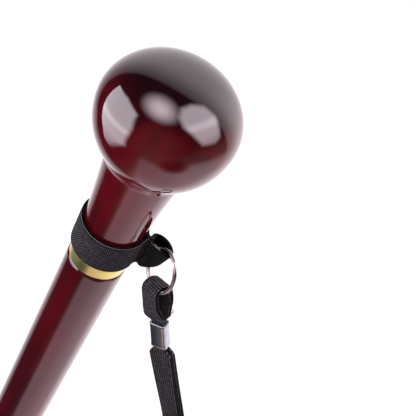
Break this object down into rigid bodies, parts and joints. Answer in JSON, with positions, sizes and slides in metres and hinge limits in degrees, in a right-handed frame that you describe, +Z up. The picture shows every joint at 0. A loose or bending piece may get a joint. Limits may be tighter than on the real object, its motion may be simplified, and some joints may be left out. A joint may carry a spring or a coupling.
{
  "type": "knob handle walking stick",
  "caption": "Walking stick with a turned knob handle, metal collar, tapered round shaft, rubber ferrule and a ribbed wrist strap on an elastic band.",
  "frame": {"origin": "centre of the ferrule's flat foot, where the stick stands on the ground", "axes": "+Z up the stick to the knob; +X to the side where the wrist strap hangs; +Y completes a right-handed frame"},
  "size_m": [0.1315, 0.0508, 0.92],
  "materials": {
    "lacquered_wood": "deep mahogany red stain under high-gloss clear lacquer",
    "polished_brass": "polished",
    "plain_steel": "plain",
    "black_elastic": "woven elastic with ribbed edges",
    "black_thread": "sewing thread",
    "nickel": "polished nickel plate",
    "black_braid": "knitted braid with lengthwise ribs",
    "black_rubber": "satin moulded rubber"
  },
  "bodies": {
    "stick": {"shaft": "lacquered_wood", "knob_handle": "lacquered_wood", "brass_collar": "polished_brass", "joining_stud": "plain_steel"},
    "band": {"strap_band": "black_elastic", "tab_stitches": "black_thread"},
    "ring": {"split_ring": "nickel"},
    "strap": {"strap_tape": "black_braid", "crimp_clamp": "nickel"},
    "ferrule": {"rubber_ferrule": "black_rubber", "ferrule_washer": "plain_steel"}
  },
  "joints": [
    {"name": "band_turn", "type": "hinge", "parent": "stick", "child": "band", "pos_m": [0, 0, 0.83575], "axis": [0, 0, 1], "continuous": true},
    {"name": "ring_turn", "type": "hinge", "parent": "band", "child": "ring", "pos_m": [0.02371, -0.00079, 0.83371], "axis": [-0.6703, -0.7354, 0.0993], "range_deg": [-19, 40]},
    {"name": "strap_swing", "type": "hinge", "parent": "ring", "child": "strap", "pos_m": [0.02608, -0.00388, 0.82682], "axis": [0.6788, -0.5536, 0.4824], "range_deg": [-21, 60]},
    {"name": "ferrule_pull", "type": "slide", "parent": "stick", "child": "ferrule", "axis": [0, 0, -1], "range_m": [0, 0.032]}
  ]
}
